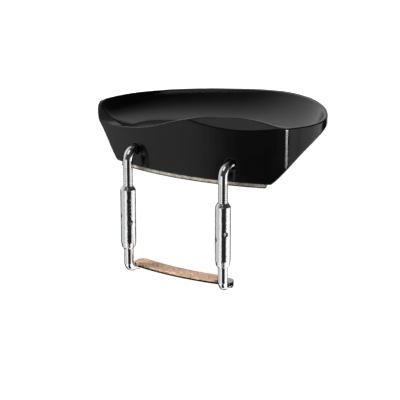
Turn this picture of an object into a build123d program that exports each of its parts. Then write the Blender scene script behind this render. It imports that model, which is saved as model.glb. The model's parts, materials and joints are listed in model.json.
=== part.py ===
"""Side-mounted violin chin rest with a two-post barrel clamp.

Millimetres, +Z up.  X runs along the row of the two clamp posts, Y points away from the
player across the violin, and Z = 0 is the underside of the seat cork, which rests on the
violin's top.  The origin sits on that face, midway between the posts.
"""
import os
from math import asin, degrees, sqrt

from build123d import *

os.makedirs("parts", exist_ok=True)

# cup
WALL_R = 111.2            # front wall: vertical arc bulging toward the player
WALL_Y = -6.5             # where the arc crosses X = 0
RIDGE_X = 44.1            # right end of the front wall, a vertical corner
RIDGE_R = 3.2
LIP_X = -45.2             # left end of the front wall
CUP_TOP = 34.4            # blank height before the top is cut away
CEILING_Z = 10.8          # underside of the dish behind the foot
FOOT_DEPTH = 13.0         # front wall to back of the foot
RIM_Z = 23.8              # rim at the back, in the middle
RIM_TILT = 0.02
FLOOR_Z = 15.0            # lowest point of the dish
BAND_X = 24.0             # middle of the sloping band under the hump
BAND_Z = 22.8
BAND_SLOPE = 1.2

# seat cork
CORK_T = 1.5
CORK_X = (-30.9, 36.4)
CORK_SKEW = 4.4           # the foot narrows toward the back

# clamp rods and barrels
POST_X = 22.5
POST_Y = -9.6
ROD_R = 2.0
ARM_Z = 8.6
BEND_R = 4.3
ARM_END_Y = 9.4           # where the round arm starts to flatten
TAB_T = 2.0
TAB_Y = 14.6              # centre of the upper tab's screw hole
UPPER_END_Z = -14.5
BARREL_R = 3.175
BARREL_TOP = -5.8
BARREL_LEN = 26.4
BORE_R = 2.05
KEY_R = 1.0
KEY_DROP = (12.2, 14.7)   # the two key holes, below the barrel's top
KEY_TURN = {"left": (-128.0, -38.0), "right": (-35.0, -125.0)}
DIMPLES = 5
THREAD_LEN = 8.4
THREAD_PITCH = 0.7
THREAD_DEPTH = 0.2
SCREW_R = 1.1
SCREW_BITE = 3.2

# foot
LOWER_END_Z = -23.2
LOWER_ARM_Z = -40.9
LOWER_TAB_T = 0.8
PLATE_BOTTOM = -42.1
PLATE_T = 0.7
FOOT_CORK_T = 0.8
PLATE_X = (-25.4, 21.9)
LOWER_FLAT_Y = (-6.6, -4.3)
LOWER_BEND_R = 2.9
PLATE_D = (0.1, 7.4)      # front and back of the plate, behind the wall's arc
FOOT_CORK_X = (-24.8, 17.0)
RIVET_R = 0.8
ARM_REACH = 7.9          # post axis to rivet
ARM_TURN = {"left": 0.0, "right": 15.0}   # the right lower arm turns inward


def wall_y(x, offset=0.0):
    """Y of the front wall's arc at x, offset millimetres behind it."""
    r = WALL_R - offset
    return WALL_Y + WALL_R - sqrt(r * r - x * x)


def strip(xs, depths, skew=0.0):
    """Closed outline of a strip that follows the front wall, its back a little shorter."""
    (a, b), (d0, d1) = xs, depths
    mid = (a + b) / 2
    front = ThreePointArc((a, wall_y(a, d0)), (mid, wall_y(mid, d0)), (b, wall_y(b, d0)))
    a, b = a + skew, b - skew
    back = ThreePointArc((a, wall_y(a, d1)), (mid, wall_y(mid, d1)), (b, wall_y(b, d1)))
    Line(front @ 0, back @ 0)
    Line(front @ 1, back @ 1)


# plan of the rim, from the ridge at the right round the back to the left end of the wall
RIM = [
    (RIDGE_X, 2.6), (46.4, 5.95), (48.7, 9.4), (50.6, 19.5), (44.9, 34.5), (30.5, 51.0),
    (11.7, 58.8), (-9.0, 54.0), (-29.5, 43.2), (-43.4, 30.0), (-48.5, 15.5), (-47.9, 6.4),
    (LIP_X, 2.9),
]
SHELL = [RIM[0]] + RIM[2:] + [(-22.5, -4.2), (2.5, -6.4), (27.5, -3.0)]
BOWL = RIM[2:] + [(-24.0, -4.7), (0.0, -6.0), (24.0, -1.0), (38.0, 3.4)]
BOX_X = (-48.2, 50.4)
BOX_Y = (-6.5, 58.8)


def ring(xs, ys, outline):
    """Closed smooth outline shaped like the rim, stretched to the given extents."""
    sx = (xs[1] - xs[0]) / (BOX_X[1] - BOX_X[0])
    sy = (ys[1] - ys[0]) / (BOX_Y[1] - BOX_Y[0])
    pts = [(xs[0] + (x - BOX_X[0]) * sx, ys[0] + (y - BOX_Y[0]) * sy) for x, y in outline]
    Spline(*pts, periodic=True)


# underside and dish, as extents in x and y at each height
FLARE = [
    (0.4, (-31.6, 36.5), (-24, 36)), (4.6, (-36.2, 41.2), (-23, 37)),
    (CEILING_Z, (-40.7, 45.9), (-20, 38.5)), (15.4, (-44.3, 48.3), (-17, 50)),
    (20.4, (-47.4, 51.2), (-16, 60)), (CUP_TOP + 6, (-58, 60), (-16, 84)),
]
DISH = [
    (FLOOR_Z, (-31, 33), (1.5, 31)), (FLOOR_Z + 1.6, (-39.5, 41.5), (-3.6, 41)),
    (FLOOR_Z + 5, (-45.0, 46.8), (-4.9, 50.5)), (FLOOR_Z + 10, (-46.9, 49.0), (-5.3, 57.2)),
    (CUP_TOP + 4, (-48.2, 50.6), (-5.5, 62)),
]

# height of the front lip along the wall
LIP = [
    (-62.0, 15.6), (-42.5, 15.4), (-28.2, 16.6), (-14.2, 19.4), (-3.0, 23.2), (9.7, 26.3),
    (22.0, 27.1), (32.7, 26.4), (40.5, 25.0), (47.0, 24.5), (62.0, 24.6),
]
# how far the lip has levelled out into the rim, at each Y
LEVELLING = [
    (-9, 0.0), (0, 0.02), (2.4, 0.1), (3.6, 0.32), (4.8, 0.62), (6.4, 0.86), (8.5, 0.96),
    (12, 1.0), (66, 1.0),
]


def over_lip(blend):
    """Everything above the lip line, blended toward the gently tilted rim."""
    pts = [(x, z + (RIM_Z + RIM_TILT * x - z) * blend) for x, z in LIP]
    top = CUP_TOP + 6
    Spline(*pts)
    Polyline(pts[-1], (pts[-1][0], top), (pts[0][0], top), pts[0])


with BuildPart() as chin_cup:
    # vertical prism of the plan
    with BuildSketch(Plane.XY.offset(CORK_T)):
        with BuildLine():
            Spline(*RIM)
            ThreePointArc(RIM[-1], (0, WALL_Y), RIM[0])
        make_face()
    extrude(amount=CUP_TOP)
    fillet(chin_cup.edges().filter_by(Axis.Z).sort_by_distance((RIDGE_X, 2.6, 18))[0], RIDGE_R)
    # flaring underside
    for z, xs, ys in FLARE:
        with BuildSketch(Plane.XY.offset(z)):
            with BuildLine():
                ring(xs, ys, SHELL)
            make_face()
    loft(mode=Mode.INTERSECT)
    # hollow behind the foot
    with BuildSketch():
        with BuildLine():
            back = ThreePointArc((-58, wall_y(-58, FOOT_DEPTH)), (0, wall_y(0, FOOT_DEPTH)),
                                 (58, wall_y(58, FOOT_DEPTH)))
            Polyline(back @ 1, (58, 80), (-58, 80), back @ 0)
        make_face()
    extrude(amount=CEILING_Z, mode=Mode.SUBTRACT)
    # top, falling from the hump to the lip at the left
    for y, blend in LEVELLING:
        with BuildSketch(Plane.XZ.offset(-y)):
            with BuildLine():
                over_lip(blend)
            make_face()
    loft(ruled=True, mode=Mode.SUBTRACT)
    # dish
    for z, xs, ys in DISH:
        with BuildSketch(Plane.XY.offset(z)):
            with BuildLine():
                ring(xs, ys, BOWL)
            make_face()
    loft(mode=Mode.SUBTRACT)
    # sloping band under the hump
    turn = degrees(asin(BAND_X / WALL_R))
    band = Plane((BAND_X, wall_y(BAND_X), BAND_Z), x_dir=(1, 0, 0)).rotated((0, 0, turn))
    with BuildSketch(Plane(band.origin, x_dir=band.y_dir, z_dir=band.x_dir)):
        with BuildLine():
            Polyline((-9, -9 * BAND_SLOPE), (14, 14 * BAND_SLOPE), (-9, 14 * BAND_SLOPE),
                     close=True)
        make_face()
    extrude(amount=24, both=True, mode=Mode.SUBTRACT)
    # holes for the arms of the upper posts, and blind holes for their screws
    with Locations(*[Location((x, wall_y(x) - 3, ARM_Z), (-90, 0, 0))
                     for x in (-POST_X, POST_X)]):
        Cylinder(ROD_R + 0.05, FOOT_DEPTH + 8, mode=Mode.SUBTRACT,
                 align=(Align.CENTER, Align.CENTER, Align.MIN))
    with Locations(*[Location((x, wall_y(x), ARM_Z), (-90, 0, 0)) for x in (-POST_X, POST_X)]):
        Cone(ROD_R + 0.9, ROD_R, 1.4, mode=Mode.SUBTRACT)
    with Locations((-POST_X, TAB_Y, CEILING_Z), (POST_X, TAB_Y, CEILING_Z)):
        Cylinder(SCREW_R, 2 * SCREW_BITE, mode=Mode.SUBTRACT)
chin_cup.part.label = "chin_cup"

with BuildPart() as seat_cork:
    with BuildSketch():
        with BuildLine():
            strip(CORK_X, (0.1, FOOT_DEPTH - 0.1), CORK_SKEW)
        make_face()
        fillet(vertices(), 0.6)
    extrude(amount=CORK_T)
seat_cork.part.label = "seat_cork"

SIDES = {"left": -POST_X, "right": POST_X}


def bent_rod(x, end_z, arm_z, arm_y, bend_r):
    """Centreline: upright in front of the wall, then back along Y."""
    drop = bend_r if arm_z > end_z else -bend_r
    upright = Line((x, POST_Y, end_z), (x, POST_Y, arm_z - drop))
    arm = Line((x, POST_Y + bend_r, arm_z), (x, arm_y, arm_z))
    inner = 1 - sqrt(0.5)
    ThreePointArc(upright @ 1, (x, POST_Y + bend_r * inner, arm_z - drop * inner), arm @ 0)


def facing(x, y, z):
    """Plane across the arm of a post, seen from the player's side."""
    return Plane((x, y, z), x_dir=(1, 0, 0), z_dir=(0, -1, 0))


def grooves(x, top, bottom):
    """Centres of the ring grooves that stand for a rolled thread."""
    count = int((top - bottom) / THREAD_PITCH)
    return [(ROD_R, top - (i + 0.5) * THREAD_PITCH) for i in range(count)]


upper_posts = []
for side, x in SIDES.items():
    tab_z = CEILING_Z - TAB_T
    with BuildPart() as post:
        with BuildLine() as path:
            bent_rod(x, UPPER_END_Z, ARM_Z, ARM_END_Y, BEND_R)
        with BuildSketch(Plane((x, POST_Y, UPPER_END_Z))):
            Circle(ROD_R)
        sweep(path=path.wire())
        # flattened tab
        with BuildSketch(facing(x, ARM_END_Y, ARM_Z)):
            Circle(ROD_R)
        with BuildSketch(facing(x, ARM_END_Y + 2.4, tab_z + TAB_T / 2)):
            Rectangle(5.4, TAB_T)
        loft()
        with BuildSketch(Plane.XY.offset(tab_z)):
            with Locations((x, TAB_Y)):
                Circle(3.1)
            with Locations((x, (ARM_END_Y + 2 + TAB_Y) / 2)):
                Rectangle(5.4, TAB_Y - ARM_END_Y - 2)
            with Locations((x, TAB_Y)):
                Circle(SCREW_R, mode=Mode.SUBTRACT)
        extrude(amount=TAB_T)
        # thread
        with BuildSketch(facing(x, POST_Y, 0)):
            with Locations(*grooves(x, BARREL_TOP + THREAD_LEN, UPPER_END_Z)):
                Rectangle(2 * THREAD_DEPTH, THREAD_PITCH / 2)
        revolve(axis=Axis((x, POST_Y, 0), (0, 0, 1)), mode=Mode.SUBTRACT)
        chamfer(post.edges().sort_by(Axis.Z)[0:1], 0.4)
    post.part.label = f"{side}_upper_post"
    upper_posts.append(post.part)

post_screws = []
for side, x in SIDES.items():
    tab_z = CEILING_Z - TAB_T
    with BuildPart() as screw:
        with BuildSketch(facing(x, TAB_Y, 0)):
            with BuildLine():
                Polyline((0, tab_z + TAB_T + SCREW_BITE), (SCREW_R - 0.4, tab_z + TAB_T + SCREW_BITE),
                         (SCREW_R, tab_z + TAB_T + SCREW_BITE - 0.4), (SCREW_R, tab_z),
                         (2.3, tab_z))
                Line((2.3, tab_z), (2.3, tab_z - 0.5))
                ThreePointArc((2.3, tab_z - 0.5), (1.3, tab_z - 1.25), (0, tab_z - 1.5))
                Line((0, tab_z - 1.5), (0, tab_z + TAB_T + SCREW_BITE))
            make_face()
        revolve(axis=Axis((x, TAB_Y, 0), (0, 0, 1)))
        with BuildSketch(Plane.XY.offset(tab_z - 1.6)):
            with Locations((x, TAB_Y)):
                Rectangle(2.6, 0.6)
                Rectangle(0.6, 2.6)
        extrude(amount=0.9, mode=Mode.SUBTRACT)
    screw.part.label = f"{side}_post_screw"
    post_screws.append(screw.part)

barrels = []
for side, x in SIDES.items():
    bottom = BARREL_TOP - BARREL_LEN
    with BuildPart() as barrel:
        with BuildSketch(facing(x, POST_Y, 0)):
            with BuildLine():
                Polyline((BORE_R, bottom), (2.35, bottom), (2.75, bottom + 0.5),
                         (BARREL_R, bottom + 2.7), (BARREL_R, BARREL_TOP - 1.3),
                         (BARREL_R - 0.8, BARREL_TOP), (BORE_R, BARREL_TOP), close=True)
            make_face()
        revolve(axis=Axis((x, POST_Y, 0), (0, 0, 1)))
        for drop, turn in zip(KEY_DROP, KEY_TURN[side]):
            out = Vector(1, 0, 0).rotate(Axis.Z, turn)
            with Locations(Plane((x, POST_Y, BARREL_TOP - drop), z_dir=out)):
                Cylinder(KEY_R, 3 * BARREL_R, mode=Mode.SUBTRACT)
        shown = 1 if side == "left" else 0
        ray = Vector(BARREL_R + 0.1, 0, 0).rotate(Axis.Z, KEY_TURN[side][shown])
        for i in range(DIMPLES):
            z = BARREL_TOP - KEY_DROP[shown] + 2.6 + 1.7 * i
            with Locations((x + ray.X, POST_Y + ray.Y, z)):
                Sphere(0.32, mode=Mode.SUBTRACT)
    barrel.part.label = f"{side}_barrel"
    barrels.append(barrel.part)

RIVETS = {}
for side, x in SIDES.items():
    reach = Vector(0, ARM_REACH, 0).rotate(Axis.Z, ARM_TURN[side])
    RIVETS[side] = (x + reach.X, POST_Y + reach.Y)

lower_posts = []
for side, x in SIDES.items():
    tab_z = PLATE_BOTTOM - LOWER_TAB_T
    with BuildPart() as post:
        with BuildLine() as path:
            bent_rod(x, LOWER_END_Z, LOWER_ARM_Z, LOWER_FLAT_Y[0], LOWER_BEND_R)
        with BuildSketch(Plane((x, POST_Y, LOWER_END_Z))):
            Circle(ROD_R)
        sweep(path=path.wire())
        # flattened tab under the plate
        with BuildSketch(facing(x, LOWER_FLAT_Y[0], LOWER_ARM_Z)):
            Circle(ROD_R)
        with BuildSketch(facing(x, LOWER_FLAT_Y[1], tab_z + LOWER_TAB_T / 2)):
            Rectangle(4.6, LOWER_TAB_T)
        loft()
        with BuildSketch(Plane.XY.offset(tab_z)):
            with Locations((x, POST_Y + ARM_REACH)):
                Circle(2.3)
            with Locations((x, (LOWER_FLAT_Y[1] + POST_Y + ARM_REACH) / 2)):
                Rectangle(4.6, POST_Y + ARM_REACH - LOWER_FLAT_Y[1])
            with Locations((x, POST_Y + ARM_REACH)):
                Circle(RIVET_R, mode=Mode.SUBTRACT)
        extrude(amount=LOWER_TAB_T)
        chamfer(post.edges().sort_by(Axis.Z)[-1:], 0.4)
    turned = post.part.rotate(Axis((x, POST_Y, 0), (0, 0, 1)), ARM_TURN[side])
    turned.label = f"{side}_lower_post"
    lower_posts.append(turned)

with BuildPart() as foot_plate:
    with BuildSketch(Plane.XY.offset(PLATE_BOTTOM)):
        with BuildLine():
            strip(PLATE_X, PLATE_D)
        make_face()
        fillet(vertices(), 3.2)
        with Locations(*RIVETS.values()):
            Circle(RIVET_R, mode=Mode.SUBTRACT)
    extrude(amount=PLATE_T)
foot_plate.part.label = "foot_plate"

with BuildPart() as foot_cork:
    with BuildSketch(Plane.XY.offset(PLATE_BOTTOM + PLATE_T)):
        with BuildLine():
            strip(FOOT_CORK_X, (PLATE_D[0] + 0.3, PLATE_D[1] - 0.3))
        make_face()
        fillet(vertices(), 2.4)
    extrude(amount=FOOT_CORK_T)
foot_cork.part.label = "foot_cork"

foot_rivets = []
for side, (x, y) in RIVETS.items():
    tab_z = PLATE_BOTTOM - LOWER_TAB_T
    with BuildPart() as rivet:
        with BuildSketch(facing(x, y, 0)):
            with BuildLine():
                Polyline((0, tab_z - 0.5), (0, PLATE_BOTTOM + PLATE_T),
                         (RIVET_R, PLATE_BOTTOM + PLATE_T), (RIVET_R, tab_z), (1.6, tab_z),
                         (1.6, tab_z - 0.2), (1.1, tab_z - 0.5), close=True)
            make_face()
        revolve(axis=Axis((x, y, 0), (0, 0, 1)))
    rivet.part.label = f"{side}_foot_rivet"
    foot_rivets.append(rivet.part)

parts = [chin_cup.part, seat_cork.part, foot_plate.part, foot_cork.part]
parts += upper_posts + post_screws + barrels + lower_posts + foot_rivets
for p in parts:
    export_step(p, f"parts/{p.label}.step")
    print(p.label, round(p.volume, 2), len(p.solids()), p.is_valid)
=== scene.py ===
import json
import math

import bmesh
import bpy
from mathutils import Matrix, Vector


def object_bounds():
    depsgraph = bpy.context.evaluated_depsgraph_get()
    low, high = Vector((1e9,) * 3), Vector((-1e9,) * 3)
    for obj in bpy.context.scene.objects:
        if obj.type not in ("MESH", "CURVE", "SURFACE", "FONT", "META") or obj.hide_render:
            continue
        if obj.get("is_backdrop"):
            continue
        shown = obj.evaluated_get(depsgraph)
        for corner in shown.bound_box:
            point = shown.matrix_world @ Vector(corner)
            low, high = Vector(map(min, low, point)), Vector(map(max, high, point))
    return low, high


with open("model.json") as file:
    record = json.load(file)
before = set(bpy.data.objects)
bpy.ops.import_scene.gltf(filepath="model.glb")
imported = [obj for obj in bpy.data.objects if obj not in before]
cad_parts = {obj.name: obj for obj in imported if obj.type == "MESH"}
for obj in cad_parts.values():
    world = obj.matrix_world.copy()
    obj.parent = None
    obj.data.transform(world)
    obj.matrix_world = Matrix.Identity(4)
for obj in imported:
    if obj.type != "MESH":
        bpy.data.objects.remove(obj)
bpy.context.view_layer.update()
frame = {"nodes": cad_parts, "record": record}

CUP = "chin_cup"
CORKS = ("seat_cork", "foot_cork")
POSTS = ("left_upper_post", "right_upper_post", "left_lower_post", "right_lower_post")
BARRELS = ("left_barrel", "right_barrel")
SMALL = ("left_post_screw", "right_post_screw", "left_foot_rivet", "right_foot_rivet")
MM = 0.001


# ---------------------------------------------------------------- materials
class Look:
    """A Principled material whose inputs are built from procedural textures in object space."""

    def __init__(self, name):
        self.mat = bpy.data.materials.new(name)
        self.mat.use_nodes = True
        self.tree = self.mat.node_tree
        self.tree.nodes.clear()
        self.out = self.add("ShaderNodeOutputMaterial")
        self.bsdf = self.add("ShaderNodeBsdfPrincipled")
        self.link(self.bsdf.outputs[0], self.out.inputs[0])
        self.coords = self.add("ShaderNodeTexCoord").outputs["Object"]

    def add(self, kind, **props):
        node = self.tree.nodes.new(kind)
        for key, value in props.items():
            setattr(node, key, value)
        return node

    def link(self, a, b):
        self.tree.links.new(a, b)

    def noise(self, scale, detail=3.0, rough=0.55, stretch=None):
        node = self.add("ShaderNodeTexNoise")
        node.inputs["Scale"].default_value = scale
        node.inputs["Detail"].default_value = detail
        node.inputs["Roughness"].default_value = rough
        self.link(self.stretched(stretch), node.inputs["Vector"])
        return node.outputs["Fac"]

    def stretched(self, stretch):
        if not stretch:
            return self.coords
        node = self.add("ShaderNodeMapping")
        node.inputs["Scale"].default_value = stretch
        self.link(self.coords, node.inputs["Vector"])
        return node.outputs[0]

    def cells(self, scale, output="Distance", stretch=None):
        node = self.add("ShaderNodeTexVoronoi")
        node.inputs["Scale"].default_value = scale
        self.link(self.stretched(stretch), node.inputs["Vector"])
        return node.outputs[output]

    def ramp(self, fac, *stops):
        node = self.add("ShaderNodeValToRGB")
        els = node.color_ramp.elements
        while len(els) < len(stops):
            els.new(0.5)
        for el, (pos, col) in zip(els, stops):
            el.position = pos
            el.color = (col, col, col, 1) if isinstance(col, (int, float)) else (*col, 1)
        self.link(fac, node.inputs[0])
        return node.outputs[0]

    def mix(self, fac, a, b, mode="MIX"):
        node = self.add("ShaderNodeMix", data_type="RGBA", blend_type=mode)
        for value, socket in ((fac, node.inputs[0]), (a, node.inputs[6]), (b, node.inputs[7])):
            if hasattr(value, "links"):
                self.link(value, socket)
            else:
                socket.default_value = value if isinstance(value, (int, float)) else (*value, 1)
        return node.outputs[2]

    def bump(self, height, strength, distance, under=None):
        node = self.add("ShaderNodeBump")
        node.inputs["Strength"].default_value = strength
        node.inputs["Distance"].default_value = distance
        self.link(height, node.inputs["Height"])
        if under is not None:
            self.link(under, node.inputs["Normal"])
        self.link(node.outputs[0], self.bsdf.inputs["Normal"])
        return node.outputs[0]

    def set(self, **values):
        for key, value in values.items():
            socket = self.bsdf.inputs[key.replace("_", " ")]
            if hasattr(value, "links"):
                self.link(value, socket)
            else:
                socket.default_value = value
        return self.mat


def cup_black():
    look = Look("cup_black")
    cloud = look.noise(120, 4)
    color = look.ramp(cloud, (0.35, (0.0011, 0.0011, 0.0013)), (0.7, (0.0024, 0.0024, 0.0024)))
    smear = look.noise(260, 5, 0.6, (1, 1, 0.4))
    rough = look.ramp(smear, (0.3, 0.13), (0.72, 0.20))
    peel = look.bump(look.noise(900, 2), 0.05, 0.02 * MM)
    look.bump(look.noise(70, 2), 0.10, 0.25 * MM, peel)
    return look.set(Base_Color=color, Roughness=rough, IOR=1.40)


def chrome(name, tone, rough, wear, grain=0.0):
    """Bright plating; grain adds a fine orange-peel that breaks up reflections."""
    look = Look(name)
    cloud = look.noise(500, 5, 0.6)
    color = look.ramp(cloud, (0.3, (tone * 0.93, tone * 0.93, tone * 0.95)), (0.7, (tone, tone, tone)))
    scratch = look.noise(900, 4, 0.7, (1, 1, 0.12))
    gloss = look.ramp(scratch, (0.35, rough), (0.75, rough + wear))
    fine = look.bump(look.noise(1600, 3, 0.6), 0.12 + wear, 0.02 * MM)
    wave = look.bump(look.noise(260, 2), 0.15, 0.05 * MM, fine)
    if grain:
        look.bump(look.noise(1500, 2, 0.6), grain, 0.06 * MM, wave)
    return look.set(Base_Color=color, Roughness=gloss, Metallic=1.0)


def plate_steel():
    """Bright faces; the side faces are painted near black, a painted shade."""
    look = Look("plate_steel")
    flat = look.add("ShaderNodeSeparateXYZ")
    look.link(look.add("ShaderNodeNewGeometry").outputs["True Normal"], flat.inputs[0])
    upright = look.add("ShaderNodeMath", operation="ABSOLUTE")
    look.link(flat.outputs["Z"], upright.inputs[0])
    # mask: 1 on the top and bottom faces, 0 on the side faces that get the painted shade
    side_shade_mask = look.ramp(upright.outputs[0], (0.45, 0.0), (0.75, 1.0))
    cloud = look.ramp(look.noise(420, 4), (0.3, (0.50, 0.50, 0.51)), (0.7, (0.62, 0.62, 0.61)))
    # painted shade: near-black colour for the plate's side faces
    edge = look.ramp(look.noise(900, 3), (0.35, (0.004, 0.004, 0.004)), (0.7, (0.02, 0.02, 0.02)))
    gloss = look.ramp(look.noise(800, 4, 0.6), (0.3, 0.14), (0.75, 0.28))
    look.bump(look.noise(1500, 3), 0.15, 0.02 * MM)
    return look.set(Base_Color=look.mix(side_shade_mask, edge, cloud), Roughness=gloss, Metallic=1.0)


def cork(name, light, mid, dark, edge_shade=None):
    """Granulated cork; the last argument gives (height, depth) of a dark band painted along the lower edge,
    a painted shade.
    """
    look = Look(name)
    grain = look.cells(1050, "Color")
    tint = look.ramp(grain, (0.15, mid), (0.5, light), (0.85, mid))
    speck = look.ramp(look.cells(880), (0.12, 1.0), (0.27, 0.0))
    fleck = look.ramp(look.noise(1500, 3, 0.65), (0.56, 0.0), (0.66, 1.0))
    color = look.mix(speck, tint, dark)
    color = look.mix(fleck, color, dark)
    cloud = look.ramp(look.noise(160, 2), (0.3, 0.82), (0.7, 1.08))
    color = look.mix(1.0, color, cloud, "MULTIPLY")
    # painted shade: the colour is dark below the given height and fades up to the cork colour over the
    # given depth
    if edge_shade:
        split = look.add("ShaderNodeSeparateXYZ")
        look.link(look.coords, split.inputs[0])
        level = look.add("ShaderNodeMapRange")
        level.inputs["From Min"].default_value = edge_shade[0]
        level.inputs["From Max"].default_value = edge_shade[0] + edge_shade[1]
        look.link(split.outputs["Z"], level.inputs["Value"])
        color = look.mix(level.outputs[0], dark, color)
    pits = look.bump(look.cells(1050), 0.5, 0.12 * MM)
    look.bump(look.noise(2200, 3), 0.35, 0.06 * MM, pits)
    rough = look.ramp(look.noise(700), (0.3, 0.78), (0.7, 0.95))
    return look.set(Base_Color=color, Roughness=rough)


looks = {
    "cup_black": cup_black(),
    "post_chrome": chrome("post_chrome", 0.86, 0.06, 0.06, 0.15),
    "barrel_chrome": chrome("barrel_chrome", 0.84, 0.07, 0.10, 0.9),
    "screw_steel": chrome("screw_steel", 0.62, 0.18, 0.12),
    "plate_steel": plate_steel(),
    "foot_cork": cork("foot_cork", (0.88, 0.60, 0.41), (0.66, 0.42, 0.27), (0.13, 0.07, 0.04)),
    # the seat cork gets a band of painted shade along its lower edge
    "seat_cork": cork("seat_cork", (0.55, 0.49, 0.41), (0.36, 0.31, 0.26), (0.03, 0.02, 0.018),
                      (0.35 * MM, 0.25 * MM)),
}
slots = {s["node"]: s["material_slot"] for s in frame["record"]["subparts"]}
for node, obj in frame["nodes"].items():
    obj.data.materials.clear()
    obj.data.materials.append(looks[slots[node]])


# ---------------------------------------------------------------- edges
def soften(obj, width, angle=30, segments=3):
    mod = obj.modifiers.new("edge", "BEVEL")
    mod.width = width
    mod.segments = segments
    mod.limit_method = "ANGLE"
    mod.angle_limit = math.radians(angle)
    mod.harden_normals = True


for node in CORKS + ("foot_plate",):
    soften(frame["nodes"][node], 0.12 * MM)

cup = frame["nodes"][CUP]
remesh = cup.modifiers.new("skin", "REMESH")
remesh.mode = "VOXEL"
remesh.voxel_size = 0.3 * MM
remesh.use_smooth_shade = True
smooth = cup.modifiers.new("round", "SMOOTH")
smooth.factor = 0.6
smooth.iterations = 6

# ---------------------------------------------------------------- stage
lo, hi = (Vector(c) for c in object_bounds())
mid = (lo + hi) / 2
SIDE, LIFT = math.radians(31.8), math.radians(17.2)     # camera: right of the front, and up
CAMERA_DIST = 0.72
AIM_RIGHT, AIM_Z = 0.00504, -0.01067                    # point that the camera looks at
FLOOR_DROP, FLOOR_REACH, DOME_R = 0.9, 40, 4.0
WINDOW_TURN = -132                                      # brightest side of the sky
CARD_LIFT, CARD_DIST, CARD_TALL = -16, 1.25, 1.1
toward = Vector((math.sin(SIDE) * math.cos(LIFT), -math.cos(SIDE) * math.cos(LIFT), math.sin(LIFT)))
target = Vector((AIM_RIGHT * math.cos(SIDE), AIM_RIGHT * math.sin(SIDE), AIM_Z))

cam = bpy.data.cameras.new("camera")
cam.sensor_width = 36
cam.lens = 160.06
cam.clip_start = 0.01
cam_obj = bpy.data.objects.new("camera", cam)
cam_obj.location = target + toward * CAMERA_DIST
cam_obj.rotation_euler = toward.to_track_quat("Z", "Y").to_euler()
bpy.context.collection.objects.link(cam_obj)
bpy.context.scene.camera = cam_obj


def plain(name, color, glow=0.0):
    """Matt stage material; it gives off its own colour times glow."""
    look = Look(name)
    cloud = look.noise(3, 2)
    tint = look.ramp(cloud, (0.3, tuple(c * 0.985 for c in color)), (0.7, color))
    if glow:
        look.set(Emission_Color=tint, Emission_Strength=glow)
    return look.set(Base_Color=tint, Roughness=0.9)


def card(name, center, facing, width, height, mat):
    """Rectangle that faces a point, seen in reflections but not by the camera."""
    center = Vector(center)
    quat = (Vector(facing) - center).to_track_quat("Z", "Y")
    half = (width / 2, height / 2)
    pts = [center + quat @ Vector((sx * half[0], sy * half[1], 0))
           for sx, sy in ((-1, -1), (1, -1), (1, 1), (-1, 1))]
    mesh = bpy.data.meshes.new(name)
    mesh.from_pydata([tuple(p) for p in pts], [], [(0, 1, 2, 3)])
    obj = bpy.data.objects.new(name, mesh)
    obj.data.materials.append(mat)
    obj.visible_camera = False
    bpy.context.collection.objects.link(obj)
    obj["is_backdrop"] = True
    return obj


floor_z = lo.z - FLOOR_DROP
corners = [(sx * FLOOR_REACH, sy * FLOOR_REACH, floor_z) for sx, sy in ((-1, -1), (1, -1), (1, 1), (-1, 1))]
mesh = bpy.data.meshes.new("floor")
mesh.from_pydata(corners, [], [(0, 1, 2, 3)])
floor = bpy.data.objects.new("floor", mesh)
floor.data.materials.append(plain("floor_white", (0.9, 0.9, 0.9), glow=1.0))
bpy.context.collection.objects.link(floor)
floor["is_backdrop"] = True

# the same white all round, seen by the camera only, so that it lights nothing
dome_mesh = bmesh.new()
bmesh.ops.create_icosphere(dome_mesh, subdivisions=4, radius=DOME_R)
mesh = bpy.data.meshes.new("backdrop")
dome_mesh.to_mesh(mesh)
dome_mesh.free()
backdrop = bpy.data.objects.new("backdrop", mesh)
backdrop.data.materials.append(plain("backdrop_white", (0.9, 0.9, 0.9), glow=1.2))
for ray in ("diffuse", "glossy", "transmission", "volume_scatter", "shadow"):
    setattr(backdrop, "visible_" + ray, False)
bpy.context.collection.objects.link(backdrop)
backdrop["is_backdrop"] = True

# soft window light from behind and to the left, dark in front and overhead
world = bpy.data.worlds.new("world")
bpy.context.scene.world = world
world.use_nodes = True
wt = world.node_tree
coord = wt.nodes.new("ShaderNodeTexCoord")
facing = wt.nodes.new("ShaderNodeVectorMath")
facing.operation = "DOT_PRODUCT"
a = SIDE + math.radians(WINDOW_TURN)
facing.inputs[1].default_value = (math.sin(a), -math.cos(a), 0.1)
sky = wt.nodes.new("ShaderNodeValToRGB")
wt.links.new(coord.outputs["Generated"], facing.inputs[0])
wt.links.new(facing.outputs["Value"], sky.inputs[0])
wt.links.new(sky.outputs[0], wt.nodes["Background"].inputs[0])
for i, (pos, level) in enumerate(((0.0, 0.04), (0.35, 0.20), (0.75, 0.70), (1.0, 0.90))):
    el = sky.color_ramp.elements[i] if i < 2 else sky.color_ramp.elements.new(pos)
    el.position = pos
    el.color = (level, level, level, 1)
wt.nodes["Background"].inputs[1].default_value = 1.0


def around(turn, lift, dist):
    """Point at a bearing from the camera's side, in degrees to the right, and a lift."""
    a = SIDE + math.radians(turn)
    e = math.radians(lift)
    return mid + Vector((math.sin(a) * math.cos(e), -math.cos(a) * math.cos(e), math.sin(e))) * dist


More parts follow.
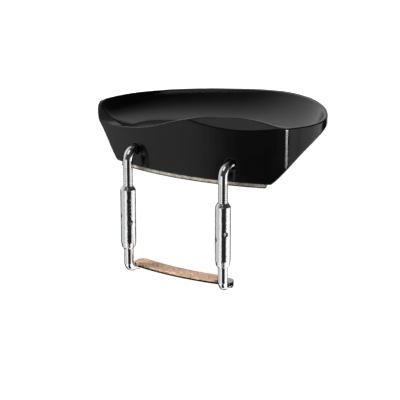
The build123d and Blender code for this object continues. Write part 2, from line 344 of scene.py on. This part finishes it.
# pale cards and black flags; the columns are name, turn, lift, distance, width, height, material
black = plain("flag_black", (0.01, 0.01, 0.01))
pale = plain("card_pale", (0.5, 0.5, 0.5), glow=0.9)
bright = plain("card_bright", (0.5, 0.5, 0.5), glow=1.8)
for name, turn, lift, dist, wide, tall, mat in (
        ("flag_right", 16, CARD_LIFT, CARD_DIST, 1.44, CARD_TALL, black),
        ("card_right", 80, CARD_LIFT, CARD_DIST, 1.75, CARD_TALL, bright),
        ("card_left", -88, CARD_LIFT, CARD_DIST, 1.22, CARD_TALL, pale),
        ("flag_back_left", -140, -18, 0.8, 0.62, 0.6, black),
        ("flag_back_right", 140, -18, 0.8, 0.50, 0.6, black),
        ("flag_low_left", -132, -50, 0.8, 0.70, 0.5, black),
        ("flag_low_front", 0, -66, 0.8, 0.55, 0.75, black),
        ("flag_low_back", 180, -52, 0.8, 0.60, 0.5, black)):
    card(name, around(turn, lift, dist), mid, wide, tall, mat)
# graded from the pale card to the black flag, so that the cup's wall darkens smoothly to the right
for turn, glow in ((-59.3, 31), (-54.1, 29), (-48.9, 22), (-43.7, 13), (-38.5, 6),
                   (-33.3, 2.5), (-28.1, 1), (-22.9, 0.3), (-17.7, 0.1)):
    card("grade_%d" % -turn, around(turn, CARD_LIFT, CARD_DIST), mid, 0.115, CARD_TALL,
         plain("grade_%d" % -turn, (0.02, 0.02, 0.02), glow))


def area(name, where, size, power, only=None):
    """Soft light aimed at the object; only = the pieces that it lights, all of them if None."""
    light = bpy.data.lights.new(name, "AREA")
    light.shape = "RECTANGLE"
    light.size, light.size_y = size
    light.energy = power
    obj = bpy.data.objects.new(name, light)
    obj.location = where
    obj.rotation_euler = (where - mid).to_track_quat("Z", "Y").to_euler()
    bpy.context.collection.objects.link(obj)
    if only:
        lit = bpy.data.collections.new(name + "_lit")
        for piece in only:
            lit.objects.link(piece)
        obj.light_linking.receiver_collection = lit


area("edge_strip", around(18, -6.8, 1.1), (0.52, 0.22), 13, [cup])
area("rod_window", around(-34, -16, 1.1), (0.52, 1.0), 1.6,
     [frame["nodes"][n] for n in POSTS + BARRELS + SMALL])
area("key", around(-28, 63, 1.3), (0.75, 0.75), 1.7)
area("cork_fill", around(-75, 28, 1.6), (1.2, 0.8), 36, [frame["nodes"][n] for n in CORKS])

scene = bpy.context.scene
scene.view_settings.view_transform = "Standard"
